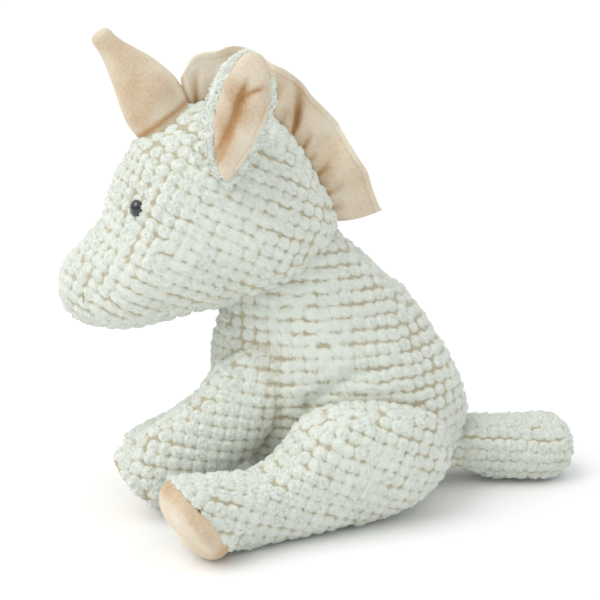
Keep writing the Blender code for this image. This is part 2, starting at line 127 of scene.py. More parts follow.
def add_node(tree, kind, links=(), stops=(), values=(), **settings):
    """Adds a node; settings are its properties or inputs, values are inputs by number, links are (input, output
    socket), and stops are the colours of a ramp: its two ends first, then what lies between."""
    node = tree.nodes.new(kind)
    for number, (place, code) in enumerate(stops):
        element = node.color_ramp.elements[number] if number < 2 else node.color_ramp.elements.new(place)
        element.position, element.color = place, linear(code)
    for key, value in settings.items():
        if key in node.inputs:
            node.inputs[key].default_value = value
        else:
            setattr(node, key, value)
    for number, value in values:
        node.inputs[number].default_value = value
    for key, socket in links:
        tree.links.new(socket, node.inputs[key])
    return node


def new_material(name, slot_name, roughness, sheen=0.0, sheen_roughness=0.5, glow=0.0):
    """A material with a sheen of loose fibres; glow is the share of light that travels on inside the pile."""
    made = bpy.data.materials.new(name)
    made.use_nodes = True
    shader = made.node_tree.nodes["Principled BSDF"]
    shader.inputs["Roughness"].default_value = roughness
    shader.inputs["Sheen Weight"].default_value = sheen
    shader.inputs["Sheen Roughness"].default_value = sheen_roughness
    shader.inputs["Subsurface Weight"].default_value = glow
    shader.inputs["Subsurface Radius"].default_value = PILE_TINT
    shader.inputs["Subsurface Scale"].default_value = PILE_DEPTH_MM * MM
    made["slot"] = slot_name
    return made, made.node_tree, shader


# %% Bobbled terry: knitted polyester loops brushed into curls, which look matt with a faint sheen at the edges
# The first two colours are painted shade: the tone darkens and warms from the bobble tops down into the hollows.
TERRY_HOLLOW_SHADE, TERRY_SLOPE_SHADE, TERRY_TOP = "#B5AC90", "#D8D9CB", "#E2E7DE"
CURL_MM = 0.9                   # a real loop is about 0.3 mm wide; it is drawn as coarse as it needs to show
TERRY_PATCH_MM = 28             # slow drift of the tone, where hands have brushed the pile
CURL_TONE, PATCH_TONE = 0.5, 0.16         # how much a curl and a patch change the tone

terry, tree, shader = new_material("bobbled_terry", "terry", 0.95, sheen=0.5, sheen_roughness=0.6, glow=0.4)
place = add_node(tree, "ShaderNodeTexCoord").outputs["Object"]
# the height of the pile, also lowered in seams and painted folds, which the ramp turns into painted shade
height = add_node(tree, "ShaderNodeAttribute", attribute_name="pile").outputs["Fac"]
curls = add_node(tree, "ShaderNodeTexNoise", [("Vector", place)], Scale=1 / (CURL_MM * MM * 2), Detail=2.0,
                 Roughness=0.6, Distortion=1.2)
patches = add_node(tree, "ShaderNodeTexNoise", [("Vector", place)], Scale=1 / (TERRY_PATCH_MM * MM), Detail=1.0)
mixed = add_node(tree, "ShaderNodeMath", [(0, curls.outputs["Fac"]), (2, height)], values=[(1, CURL_TONE)],
                 operation="MULTIPLY_ADD")
drifted = add_node(tree, "ShaderNodeMath", [(0, patches.outputs["Fac"]), (2, mixed.outputs[0])],
                   values=[(1, PATCH_TONE)], operation="MULTIPLY_ADD")
tint = add_node(tree, "ShaderNodeValToRGB", [("Fac", drifted.outputs[0])],
                [(0.34, TERRY_HOLLOW_SHADE), (0.9, TERRY_TOP), (0.56, TERRY_SLOPE_SHADE)])
tree.links.new(tint.outputs["Color"], shader.inputs["Base Color"])
bump = add_node(tree, "ShaderNodeBump", [("Height", curls.outputs["Fac"])], Strength=0.55, Distance=0.5 * MM)
tree.links.new(bump.outputs["Normal"], shader.inputs["Normal"])

# %% Wool curls: the same yarn, standing above the painted shade of the hollows, so always in the light tone
CURL_PATCH_MM = 3               # one curl is lighter than the next
wool, tree, shader = new_material("wool_curl", "terry", 0.95, sheen=0.5, sheen_roughness=0.6)
place = add_node(tree, "ShaderNodeTexCoord").outputs["Object"]
patches = add_node(tree, "ShaderNodeTexNoise", [("Vector", place)], Scale=1 / (CURL_PATCH_MM * MM), Detail=2.0)
tint = add_node(tree, "ShaderNodeValToRGB", [("Fac", patches.outputs["Fac"])],
                [(0.3, "#E0E3DA"), (0.75, "#EFF2EB"), (0.5, "#E8EBE3")])
tree.links.new(tint.outputs["Color"], shader.inputs["Base Color"])

# %% Peach velour: cut pile under a millimetre deep, whose nap turns the tone in soft patches
# The first colour is painted shade: creases, folds and seams of the velour are painted towards it.
VELOUR_CREASE_SHADE, VELOUR_MID, VELOUR_TOP = "#BA8E60", "#D9CAB3", "#E9E0D0"
NAP_MM = 0.7                    # real tufts are about 0.2 mm wide; they are drawn as coarse as they need to show
STROKE_MM = 22                  # how far one stroke of the nap reaches
NAP_TONE, CREASE_SHADE_TONE = 0.5, -0.6         # how much a tuft and the painted shade of a crease change the tone

velour, tree, shader = new_material("peach_velour", "velour", 0.82, sheen=0.6, sheen_roughness=0.45)
shader.inputs["Sheen Tint"].default_value = linear("#FBEBD6")
place = add_node(tree, "ShaderNodeTexCoord").outputs["Object"]
nap = add_node(tree, "ShaderNodeTexNoise", [("Vector", place)], Scale=1 / (NAP_MM * MM * 2), Detail=3.0,
               Roughness=0.7)
strokes = add_node(tree, "ShaderNodeTexNoise", [("Vector", place)], Scale=1 / (STROKE_MM * MM), Detail=1.0,
                   Distortion=0.3)
# the painted shade of creases and folds, stored on each velour piece
crease_shade = add_node(tree, "ShaderNodeAttribute", attribute_name="crease_shade").outputs["Fac"]
mixed = add_node(tree, "ShaderNodeMath", [(0, nap.outputs["Fac"]), (2, strokes.outputs["Fac"])],
                 values=[(1, NAP_TONE)], operation="MULTIPLY_ADD")
shaded = add_node(tree, "ShaderNodeMath", [(0, crease_shade), (2, mixed.outputs[0])], values=[(1, CREASE_SHADE_TONE)],
                  operation="MULTIPLY_ADD")
tint = add_node(tree, "ShaderNodeValToRGB", [("Fac", shaded.outputs[0])],
                [(0.2, VELOUR_CREASE_SHADE), (1.0, VELOUR_TOP), (0.7, VELOUR_MID)])
tree.links.new(tint.outputs["Color"], shader.inputs["Base Color"])
bump = add_node(tree, "ShaderNodeBump", [("Height", nap.outputs["Fac"])], Strength=0.35, Distance=0.3 * MM)
tree.links.new(bump.outputs["Normal"], shader.inputs["Normal"])

# %% Polished black plastic: moulded smooth, so it mirrors the room and gives the eye its bright spot
eye_plastic, tree, shader = new_material("polished_black_plastic", "eye", 0.06)
shader.inputs["Base Color"].default_value = linear("#0B0B0D")
shader.inputs["Coat Weight"].default_value = 1.0
shader.inputs["Coat Roughness"].default_value = 0.02

# %% Olive sewing thread: twisted yarn, matt, and darker than the pile that it lies on
thread, tree, shader = new_material("olive_sewing_thread", "velour", 0.7, sheen=0.2)
shader.inputs["Base Color"].default_value = linear("#B0A585")
print("materials:", [m.name for m in (terry, wool, velour, eye_plastic, thread)])

# %% [markdown]
# ## Forms
# A stuffed skin is a bag that its filling pushes round between the seams. A cloth simulation could blow it up,
# but then its outline comes out of the cut of the panels and has to be found by trial. Here the outline is given:
# a round piece starts as a subdivided cube, blown up to a ball, and a limb as a sheet that is rolled to a tube,
# and their points are moved to where the seams lie. All sizes are millimetres until they go back into the mesh.

# %% Start shapes
SIDES = (("left", 1), ("right", -1))


def deselect():
    """Leaves edit mode and selects nothing, so that the next step works on its own piece only."""
    if bpy.context.object and bpy.context.object.mode != "OBJECT":
        bpy.ops.object.mode_set(mode="OBJECT")
    bpy.ops.object.select_all(action="DESELECT")


def ball(name, cuts):
    """A cube of even squares, ready to be blown up; gives it and the unit direction of each point."""
    deselect()
    bpy.ops.mesh.primitive_cube_add(size=2.0, location=(0, 0, 0))
    made = bpy.context.active_object
    made.name = name
    bpy.ops.object.mode_set(mode="EDIT")
    bpy.ops.mesh.subdivide(number_cuts=cuts)
    bpy.ops.object.mode_set(mode="OBJECT")
    points = np.tan(points_of(made) * MM * math.pi / 4)
    return made, points / np.linalg.norm(points, axis=1, keepdims=True)


def rolled_sheet(name, around, along):
    """A flat sheet with a place (u, v) for each point, to be rolled into a tube."""
    deselect()
    bpy.ops.mesh.primitive_grid_add(x_subdivisions=around, y_subdivisions=along, size=2.0)
    made = bpy.context.active_object
    made.name = name
    flat = points_of(made) * MM
    return made, (flat[:, 0] + 1) / 2, (flat[:, 1] + 1) / 2


# %% Points of a piece


def points_of(piece):
    """Point places in millimetres."""
    places = np.empty(len(piece.data.vertices) * 3)
    piece.data.vertices.foreach_get("co", places)
    return places.reshape(-1, 3) / MM


def set_points(piece, places):
    """Moves the points of a piece to places in millimetres."""
    piece.data.vertices.foreach_set("co", (places * MM).ravel())
    piece.data.update()


def normals_of(piece):
    """The outward arrow at each point."""
    arrows = np.empty(len(piece.data.vertices) * 3)
    piece.data.vertex_normals.foreach_get("vector", arrows)
    return arrows.reshape(-1, 3)


# %% Finish of a piece


def close_seams(piece, weld=True):
    """Welds a rolled sheet along its edges, if asked, and turns its faces outwards."""
    deselect()
    bpy.context.view_layer.objects.active = piece
    piece.select_set(True)
    bpy.ops.object.mode_set(mode="EDIT")
    bpy.ops.mesh.select_all(action="SELECT")
    if weld:
        bpy.ops.mesh.remove_doubles(threshold=0.02 * MM)
    bpy.ops.mesh.normals_make_consistent(inside=False)
    bpy.ops.object.mode_set(mode="OBJECT")


def paint(piece, name, values):
    """Stores a value from 0 to 1 for each point, which a material can read."""
    layer = piece.data.attributes.new(name, "FLOAT", "POINT")
    layer.data.foreach_set("value", np.clip(values, 0, 1).astype(np.float32))


def painted(piece, name):
    """Reads back what paint has stored."""
    values = np.empty(len(piece.data.vertices), np.float32)
    piece.data.attributes[name].data.foreach_get("value", values)
    return values


def finish_piece(piece, material, body, nodes=(), rounded=True):
    """Shading, its material, the body that it rides on and the plain solids that it stands for."""
    if rounded:
        piece.data.shade_smooth()
    piece.data.materials.clear()
    piece.data.materials.append(material)
    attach(piece, body)
    if nodes:
        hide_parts(*nodes)
    print(piece.name, "has", sum(len(p.vertices) - 2 for p in piece.data.polygons), "triangles")


# %% Outlines


def between(a, b, c, d, t):
    """The smooth curve from b to c, at share t, that comes from a and goes on to d."""
    return 0.5 * (2 * b + (c - a) * t + (2 * a - 5 * b + 4 * c - d) * t ** 2 + (3 * b - a - 3 * c + d) * t ** 3)


def closed_curve(points, steps=12):
    """A smooth ring through the corners of an outline."""
    ring = np.array(points, float)
    before, after, beyond = np.roll(ring, 1, 0), np.roll(ring, -1, 0), np.roll(ring, -2, 0)
    rows = [between(before, ring, after, beyond, t) for t in np.arange(steps) / steps]
    return np.stack(rows, 1).reshape(-1, ring.shape[1])


def open_curve(points, samples, steps=24):
    """A smooth curve through rows of numbers, read at evenly spaced shares of its length."""
    rows = np.array(points, float)
    rows = np.vstack([2 * rows[0] - rows[1], rows, 2 * rows[-1] - rows[-2]])
    dense = []
    for i in range(1, len(rows) - 2):
        dense.extend(between(*rows[i - 1:i + 3], t) for t in np.arange(steps) / steps)
    dense.append(rows[-2])
    dense = np.array(dense)
    steps = np.linalg.norm(np.diff(dense[:, :3], axis=0), axis=1)
    reach = np.concatenate([[0], np.cumsum(steps)]) / steps.sum()
    return np.stack([np.interp(samples, reach, column) for column in dense.T], 1)


# %% Lumps and distances


def waves(places, length, seed, count=14):
    """Smooth seeded noise between about -1 and 1, as a sum of waves of one length."""
    rng = np.random.default_rng(seed)
    ways = rng.normal(size=(count, 3))
    ways /= np.linalg.norm(ways, axis=1, keepdims=True)
    starts = rng.uniform(0, math.tau, count)
    total = np.zeros(len(places))
    for way, start in zip(ways, starts):
        total += np.cos(places @ way * (math.tau / length) + start)
    return total / math.sqrt(count / 2) * 0.6


def away_from(points, line):
    """Distance of points from a line of corners, and how far along the line their nearest place is."""
    line = np.array(line, float)
    best, share = np.full(len(points), 1e9), np.zeros(len(points))
    for number, (start, end) in enumerate(zip(line[:-1], line[1:])):
        run = end - start
        along = np.clip((points - start) @ run / (run @ run), 0, 1)
        gap = np.linalg.norm(points - start - along[:, None] * run, axis=1)
        closer = gap < best
        best[closer] = gap[closer]
        share[closer] = (number + along[closer]) / (len(line) - 1)
    return best, share


def smooth(value, low, high):
    """Rises softly from 0 at low to 1 at high."""
    share = np.clip((value - low) / (high - low), 0, 1)
    return share * share * (3 - 2 * share)


def seam_band(distance, width):
    """1 on a seam line, fading to 0 beside it."""
    return np.exp(-(distance / width) ** 2)


def mound(places, spot, reach):
    """A round swelling or dent about a spot (y, z): 1 at its middle, fading over its reach."""
    return np.exp(-((places[:, 1] - spot[0]) ** 2 + (places[:, 2] - spot[1]) ** 2) / reach ** 2)


# %% Blow up a ball, and rest it on the floor
CUSHION = 3.0                   # the height over which a form spreads flat where it rests


def pillow(directions, outline, centre, width_at, fullness=0.86):
    """Blows unit directions up to an outline in the y-z plane with a half width in x."""
    curve = closed_curve(outline) - np.array(centre)
    angles, radii = np.arctan2(curve[:, 1], curve[:, 0]), np.hypot(curve[:, 0], curve[:, 1])
    order = np.argsort(angles)
    across, y, z = directions.T
    reach = np.interp(np.arctan2(z, y), angles[order], radii[order], period=math.tau)
    flat = np.hypot(y, z)
    reach = reach * np.minimum(flat, 1) ** fullness
    y, z = centre[0] + reach * y / np.maximum(flat, 1e-9), centre[1] + reach * z / np.maximum(flat, 1e-9)
    return np.stack([across * width_at(y, z), y, z], 1)


def lumpy(places, rows):
    """Unevenness of the filling; a row is the height, length and seed of its waves."""
    return sum(height * waves(places, length, seed) for height, length, seed in rows)[:, None]


def settle(places):
    """Rests a form on the floor: what would lie below it spreads flat."""
    low = np.minimum(places[:, 2], CUSHION)
    places[:, 2] = np.where(places[:, 2] < CUSHION, CUSHION * np.exp((low - CUSHION) / CUSHION), places[:, 2])
    return places


# %% [markdown]
# ## Bobbles
# The cloth is knitted in rows, with a bobble every 6 mm. A repeated texture could draw them, but they would be
# flat at the outline of the toy, where they show most. Laid on a round body, the rows stay straight on the side
# and drift apart where the cloth turns away. So each piece gets a square lattice on every side that looks one
# way, bobbles that would touch are dropped, and gaps are filled. Every point of the piece then rises by its
# distance to the nearest bobble, and small curls roughen the top.

# %% Bobble places
PITCH = 5.9                     # from one bobble to the next
SIDE_BIAS = 1.25                # the side view keeps its lattice further round the body
ON_LATTICE = 0.05               # a point this near a lattice place can be its bobble; squared, in pitches
LATTICE_ROOM, FILL_ROOM = 0.78, 0.81      # least distance between bobbles, in pitches
SPARE_TRIES, STRAY = 16000, 0.25          # places tried to fill gaps; how far a bobble strays from its own
ROW_TILT = {"torso": 0.0, "head": 26.0, "hind_leg": 26.0, "front_leg": 10.0, "tail": 4.0, "ear": 20.0}


def bobble_centres(places, arrows, tilt, pitch=PITCH, seed=1, stagger=0.0):
    """Where the bobbles stand; tilt is the angle of the rows below the horizontal, towards the tail."""
    rng = np.random.default_rng(seed)
    lean = math.radians(tilt)
    along = np.array([0, math.cos(lean), -math.sin(lean)])
    up = np.array([0, math.sin(lean), math.cos(lean)])
    aside = np.array([1.0, 0, 0])
    facing = np.stack([np.abs(arrows @ aside) * SIDE_BIAS, np.abs(arrows @ along), np.abs(arrows @ up)], 1)
    zone = facing.argmax(1)
    chosen = []
    for number, (first, second, third) in enumerate([(along, up, aside), (aside, up, along),
                                                    (aside, along, up)]):
        inside = np.nonzero(zone == number)[0]
        if not len(inside):
            continue
        across, rise = places[inside] @ first / pitch, places[inside] @ second / pitch
        row = np.round(rise)
        shifted = across + stagger * (row % 2)
        column = np.round(shifted)
        side = (arrows[inside] @ third > 0).astype(float)
        miss = (shifted - column) ** 2 + (rise - row) ** 2
        order = np.lexsort((miss, column, row, side))
        keys = np.stack([side[order], row[order], column[order]], 1)
        first_of = np.concatenate([[True], np.any(np.diff(keys, axis=0) != 0, axis=1)])
        best = order[first_of]
        best = best[miss[best] < ON_LATTICE]
        chosen.extend(inside[best])
    spare = rng.permutation(len(places))[:SPARE_TRIES]
    kept = []
    grid = {}

    def crowded(place, room):
        """Whether a kept bobble stands nearer than room."""
        cell = tuple((place // pitch).astype(int))
        for dx in (-1, 0, 1):
            for dy in (-1, 0, 1):
                for dz in (-1, 0, 1):
                    for other in grid.get((cell[0] + dx, cell[1] + dy, cell[2] + dz), ()):
                        if np.sum((other - place) ** 2) < room * room:
                            return True
        return False

    for group, room in ((chosen, LATTICE_ROOM * pitch), (spare, FILL_ROOM * pitch)):
        for index in group:
            place = places[index]
            if not crowded(place, room):
                grid.setdefault(tuple((place // pitch).astype(int)), []).append(place)
                kept.append(place + rng.normal(0, STRAY, 3))
    return np.array(kept)


# %% Nearest bobble


def nearest_bobble(places, centres):
    """Distance from each point to its nearest bobble, and that bobble's number."""
    tree = KDTree(len(centres))
    for number, centre in enumerate(centres):
        tree.insert(centre, number)
    tree.balance()
    found = [tree.find(place) for place in places]
    return np.array([f[2] for f in found]), np.array([f[1] for f in found])


# %% Raise the pile
CURL_SEED = 5
DOME_REACH, DOME_POWER = 0.66, 2.6        # how wide a bobble is, in pitches, and how flat its top
CURL_HEIGHT, SEAM_DEPTH = 0.3, 0.9
FLOOR_GAP = 0.25                # no loop reaches through the floor


def raise_pile(piece, tilt, depth=1.55, seams_and_shade=None, seed=1, pitch=PITCH, stagger=0.0, run=0.10, rise=0.08):
    """Lifts the bobbles and curls of a terry piece, and stores the pile height, which the colour turns into painted
    shade in the hollows. The seam depth says how deep each point lies in a seam or in painted shade, 0 to 1; there
    the pile sinks and its colour is lowered.

    The bobbles are drawn out along the row by run, and flattened across it by rise."""
    places, arrows = points_of(piece), normals_of(piece)
    centres = bobble_centres(places, arrows, tilt, pitch, seed, stagger)
    lean = math.radians(tilt)
    row = np.array([0, math.cos(lean), -math.sin(lean)])
    stack = np.array([0, math.sin(lean), math.cos(lean)])
    shape = np.eye(3) - run * np.outer(row, row) + rise * np.outer(stack, stack)
    distance, number = nearest_bobble(places @ shape, centres @ shape)
    rng = np.random.default_rng(seed + 50)
    size = rng.uniform(0.9, 1.06, len(centres))[number]
    dome = np.clip(1 - (distance / (DOME_REACH * pitch * size)) ** DOME_POWER, 0, 1)
    curl = waves(places + 0.6 * np.stack([waves(places, 3.1, seed + 7), waves(places, 3.4, seed + 8),
                                          waves(places, 2.8, seed + 9)], 1), 2.3, CURL_SEED)
    curl = 1 - np.abs(curl) * 1.6
    pile = dome * 0.8 + 0.2 * dome * np.clip(curl, -1, 1)
    lift = depth * pile + CURL_HEIGHT * np.clip(curl, -1, 1) * (0.4 + 0.6 * dome)
    if seams_and_shade is not None:
        lift = lift * (1 - 0.75 * seams_and_shade) - SEAM_DEPTH * seams_and_shade
        pile = pile * (1 - 0.8 * seams_and_shade)
    moved = places + arrows * (lift - depth * 0.55)[:, None]
    moved[:, 2] = np.maximum(moved[:, 2], FLOOR_GAP)
    set_points(piece, moved)
    # the pile height is painted into the colour as shade in the hollows
    paint(piece, "pile", pile)
    print(piece.name, "has", len(centres), "bobbles")


# %% [markdown]
# ## Torso
# The torso is one bag: two panels joined down the chest and back, full at the seat and narrower at the neck,
# where the head sits over it. A globe of meridians could be shaped too, but its points crowd at the poles. It
# starts as a ball of even squares, so that the bobbles are equally fine all over.

# %% Torso
TORSO_CENTRE = (5.0, 60.0)
TORSO_OUTLINE = [(-53, 98), (-57, 78), (-58.5, 60), (-56, 43), (-50, 24), (-31, 6), (-4, -2), (40, -2), (58, 9),
                 (69, 26), (71.5, 44), (66, 62), (56, 80), (44, 97), (28, 113), (9, 131), (-8, 144), (-26, 150),
                 (-44, 146), (-55, 134), (-55, 116)]
TORSO_HALF_WIDTH = 41.5
TORSO_LUMPS = ((0.7, 38, 3), (0.35, 17, 4))
BELLY_FOLD = [(-14, 58), (-4, 64), (10, 72), (24, 76)]     # the side is squeezed above the thigh
BELLY_DEPTH, BELLY_WIDTH = 3.2, 3.4
SHOULDER, SHOULDER_REACH, SHOULDER_RISE = (-34, 68), 18.0, 6.0
HIP, HIP_REACH, HIP_RISE = (38, 36), (24, 22), 7.5
LEG_GAP_SHADE, LEG_GAP_SHADE_REACH = (-40, 20), 17.0                           # a shallow dent in the belly between the legs, painted darker as shade


def torso_width(y, z):
    return TORSO_HALF_WIDTH * (1 - 0.2 * smooth(z, 55, 122)) + 3.5 * smooth(-z, -48, -12)


torso_cover, directions = ball("torso_cover", 120)
body = settle(pillow(directions, TORSO_OUTLINE, TORSO_CENTRE, torso_width))
body += directions * lumpy(body, TORSO_LUMPS)
side_fold, run_share = away_from(body[:, 1:], BELLY_FOLD)
outer = smooth(np.abs(body[:, 0]), 20, 30)
squeeze = outer * BELLY_DEPTH * seam_band(side_fold, BELLY_WIDTH) * smooth(1 - run_share, 0, 0.5)
body[:, 0] -= np.sign(body[:, 0]) * squeeze
shoulder = mound(body, SHOULDER, SHOULDER_REACH)
hip = np.exp(-((body[:, 1] - HIP[0]) / HIP_REACH[0]) ** 2 - ((body[:, 2] - HIP[1]) / HIP_REACH[1]) ** 2)
body[:, 0] += np.sign(body[:, 0]) * (SHOULDER_RISE * shoulder + HIP_RISE * hip) * outer
set_points(torso_cover, body)
# The centre seam, and painted shade in the gap between the legs: both sink the pile and lower its colour.
torso_seams_and_shade = np.clip(0.8 * seam_band(body[:, 0], 1.3) + 0.8 * mound(body, LEG_GAP_SHADE, LEG_GAP_SHADE_REACH), 0, 1)
raise_pile(torso_cover, ROW_TILT["torso"], seams_and_shade=torso_seams_and_shade, seed=11, run=0.16, rise=0.22)
finish_piece(torso_cover, terry, "torso", ("torso_skin_left", "torso_skin_right", "torso_filling", "pellet_bag"))

# %% [markdown]
# ## Head
# The head is wider than the neck and hangs over it. A forehead panel runs from ear to ear down to the bridge
# of the nose, and the cheeks meet the nape in an upright seam. The muzzle is full and blunt. It could be
# sculpted, but an outline and a width are easier to put right, so it is made as the torso is.

# %% Head
HEAD_CENTRE = (-62.0, 140.0)
HEAD_OUTLINE = [(-131.5, 107), (-129, 120), (-120, 131), (-110, 143), (-106, 157), (-98, 172), (-91, 182),
                (-79, 190), (-67, 196.5), (-52, 199), (-37, 196), (-24, 188), (-13, 175), (-5, 161), (1, 149),
                (4, 136), (-6, 116), (-30, 103), (-54, 98.4), (-78, 93.6), (-102, 88.6), (-118, 89.8), (-128, 96.6)]
HEAD_HALF_WIDTH = 46.0
FOREHEAD_SEAM = [(-50, 176), (-62, 173), (-73, 170.5), (-85, 165), (-95, 157.5), (-104, 148)]
NAPE_SEAM_Y = -44.0
EYE_SPOT = (-93.0, 152.6)
SOCKET_REACH, SOCKET_DEPTH = 9.0, 2.0     # the eye's washer pulls the cloth in
HEAD_LUMPS = ((0.6, 34, 13), (0.3, 16, 14))


def head_width(y, z):
    return HEAD_HALF_WIDTH * (1 - 0.34 * smooth(-y, 84, 128))


head_cover, directions = ball("head_cover", 122)
skull = pillow(directions, HEAD_OUTLINE, HEAD_CENTRE, head_width)
skull += directions * lumpy(skull, HEAD_LUMPS)
socket = mound(skull, EYE_SPOT, SOCKET_REACH)
skull[:, 0] -= np.sign(skull[:, 0]) * SOCKET_DEPTH * socket * (np.abs(skull[:, 0]) > 8)
seam_z = np.interp(-skull[:, 1], [-p[0] for p in FOREHEAD_SEAM], [p[1] for p in FOREHEAD_SEAM])
forehead_seam = seam_band(skull[:, 2] - seam_z, 1.1) * smooth(-skull[:, 1], 52, 58) * smooth(skull[:, 1], -112, -104)
nape_seam = seam_band(skull[:, 1] - NAPE_SEAM_Y, 1.1) * smooth(-skull[:, 2], -168, -158)
chin_seam = seam_band(skull[:, 0], 1.2) * smooth(-skull[:, 2], -118, -104)
set_points(head_cover, skull)
head_seams = np.clip(0.55 * forehead_seam + 0.5 * nape_seam + 0.8 * chin_seam, 0, 1)
raise_pile(head_cover, ROW_TILT["head"], seams_and_shade=head_seams, seed=21)
finish_piece(head_cover, terry, "head", ("face_panel_left", "face_panel_right", "nape_panel_left",
                                         "nape_panel_right", "forehead_gusset", "head_filling"))

# %% [markdown]
# ## Legs and tail
# Each leg is a tube with a round root that is sewn into the body, so the root can turn in its seam. Its end is
# closed by an oval velour sole. A curve could be thickened to a tube, but only to one that is equally round all
# over. So the tube is a sheet rolled up along the leg's middle line, with its own height and width at every
# station, and flatter where it lies.

# %% A stuffed tube


def stuffed_tube(name, stations, around, along, end_normal=None, lumps=0.5, seed=31, squareness=0.88):
    """Rolls a sheet round a middle line; a station is x, y, z, height radius and width radius."""
    made, turn, share = rolled_sheet(name, around, along)
    line = open_curve(stations, share)
    ahead = open_curve(stations, np.minimum(share + 0.01, 1)) - open_curve(stations, np.maximum(share - 0.01, 0))
    way = ahead[:, :3] / np.linalg.norm(ahead[:, :3], axis=1, keepdims=True)
    if end_normal is not None:
        weight = smooth(share, 0.72, 0.97)[:, None]
        way = way * (1 - weight) + np.array(end_normal) * weight
        way /= np.linalg.norm(way, axis=1, keepdims=True)
    across = np.array([1.0, 0, 0]) - way * way[:, :1]
    across /= np.linalg.norm(across, axis=1, keepdims=True)
    up = np.cross(across, way)
    angle = turn * math.tau
    power = np.where(np.sin(angle) < 0, squareness, 1.0)       # flatter where it lies
    sideways = np.sign(np.cos(angle)) * np.abs(np.cos(angle)) ** power
    upward = np.sign(np.sin(angle)) * np.abs(np.sin(angle)) ** power
    out = across * (line[:, 4] * sideways)[:, None] + up * (line[:, 3] * upward)[:, None]
    places = line[:, :3] + out
    length = np.linalg.norm(out, axis=1, keepdims=True)
    places += out / np.maximum(length, 1e-6) * (lumps * waves(places, 22, seed)
                                                * np.minimum(length[:, 0] / 6, 1))[:, None]
    set_points(made, settle(places))
    close_seams(made)
    return made


# %% Soles


def velour_sole(name, middle, normal, high, wide, body_name, nodes, seed, puff=12.5):
    """A puffed oval of velour that closes a leg, drawn in at its seam."""
    made, directions = ball(name, 30)
    normal = np.array(normal) / np.linalg.norm(normal)
    across = np.array([1.0, 0, 0]) - normal * normal[0]
    across /= np.linalg.norm(across)
    up = np.cross(across, normal)
    side, rise, out = directions.T
    rim = np.hypot(side, rise)
    angle = np.arctan2(rise, side)
    pucker = 0.35 * np.sin(angle * 26 + 1.7 * np.sin(angle * 5)) * smooth(rim, 0.75, 1.0)
    places = (middle + across * (side * wide * (1 - 0.01 * pucker))[:, None] + up * (rise * high)[:, None]
              + normal * (np.sign(out) * np.abs(out) ** 0.7 * np.where(out > 0, puff, 3.0) + pucker)[:, None])
    places += normal * (0.5 * waves(places, 14, seed))[:, None]
    places[:, 2] = np.maximum(places[:, 2], 0.3)
    set_points(made, places)
    # painted shade round the rim, where the sole is drawn into its seam
    paint(made, "crease_shade", 0.4 * smooth(rim, 0.86, 1.0))
    finish_piece(made, velour, body_name, nodes)


# %% Hind legs
HIND_LEG = [(40, 54.5, 36, 0.4, 0.4), (40.5, 53.5, 35.8, 7, 4.5), (42, 49.5, 35, 14.6, 9), (44.5, 42, 34, 21, 13.4),
            (48, 29, 32.2, 26.2, 17.4), (51, 14, 31, 29.2, 18.6), (54, -1, 29.8, 30, 18.8),
            (57, -12.5, 24.6, 25, 18.4), (61, -24.5, 19.6, 20, 17.6), (66, -37.5, 17, 17.2, 17),
            (71, -48, 17.4, 17.6, 17), (76, -58, 19.4, 19.8, 17.6), (80, -65, 20.6, 21.4, 18.4),
            (81.6, -68.2, 20.4, 20.4, 17.6), (80.4, -65, 20, 12, 10)]
FAR_FOOT = 0.72                 # the right hind leg is pushed back and lies flatter
HIND_FACING = (0.3, -0.78, -0.55)
HIND_SOLE_Y, HIND_PUFF = {1: -68.4, -1: -52.6}, {1: 12.5, -1: 6.0}        # left, right
legs = {}
for name, side in SIDES:
    slack = 1.0 if side > 0 else FAR_FOOT
    mirrored = [(side * x, y if y > -20 else -20 + (y + 20) * (slack - 0.04 * (side < 0)),
                 z * (1 - (1 - slack) * smooth(-y, 0, 35)), high * (1 - (1 - slack) * smooth(-y, 0, 35)), wide)
                for x, y, z, high, wide in HIND_LEG]
    facing = (side * HIND_FACING[0], HIND_FACING[1], HIND_FACING[2])
    cover = stuffed_tube(f"hind_leg_{name}_cover", mirrored, 176, 190, facing, lumps=0.6, seed=31 + side,
                         squareness=0.8)
    legs[cover.name] = cover
    raise_pile(cover, ROW_TILT["hind_leg"], seed=41 + side)
    finish_piece(cover, terry, f"hind_leg_{name}", (f"hind_leg_{name}_skin", f"hind_leg_{name}_filling"))
    velour_sole(f"hind_sole_{name}", np.array((side * 82, HIND_SOLE_Y[side], 20.2 * slack)), facing,
                21.2 * slack, 18.8, f"hind_leg_{name}", (f"hind_leg_{name}_sole",), 61 + side, HIND_PUFF[side])

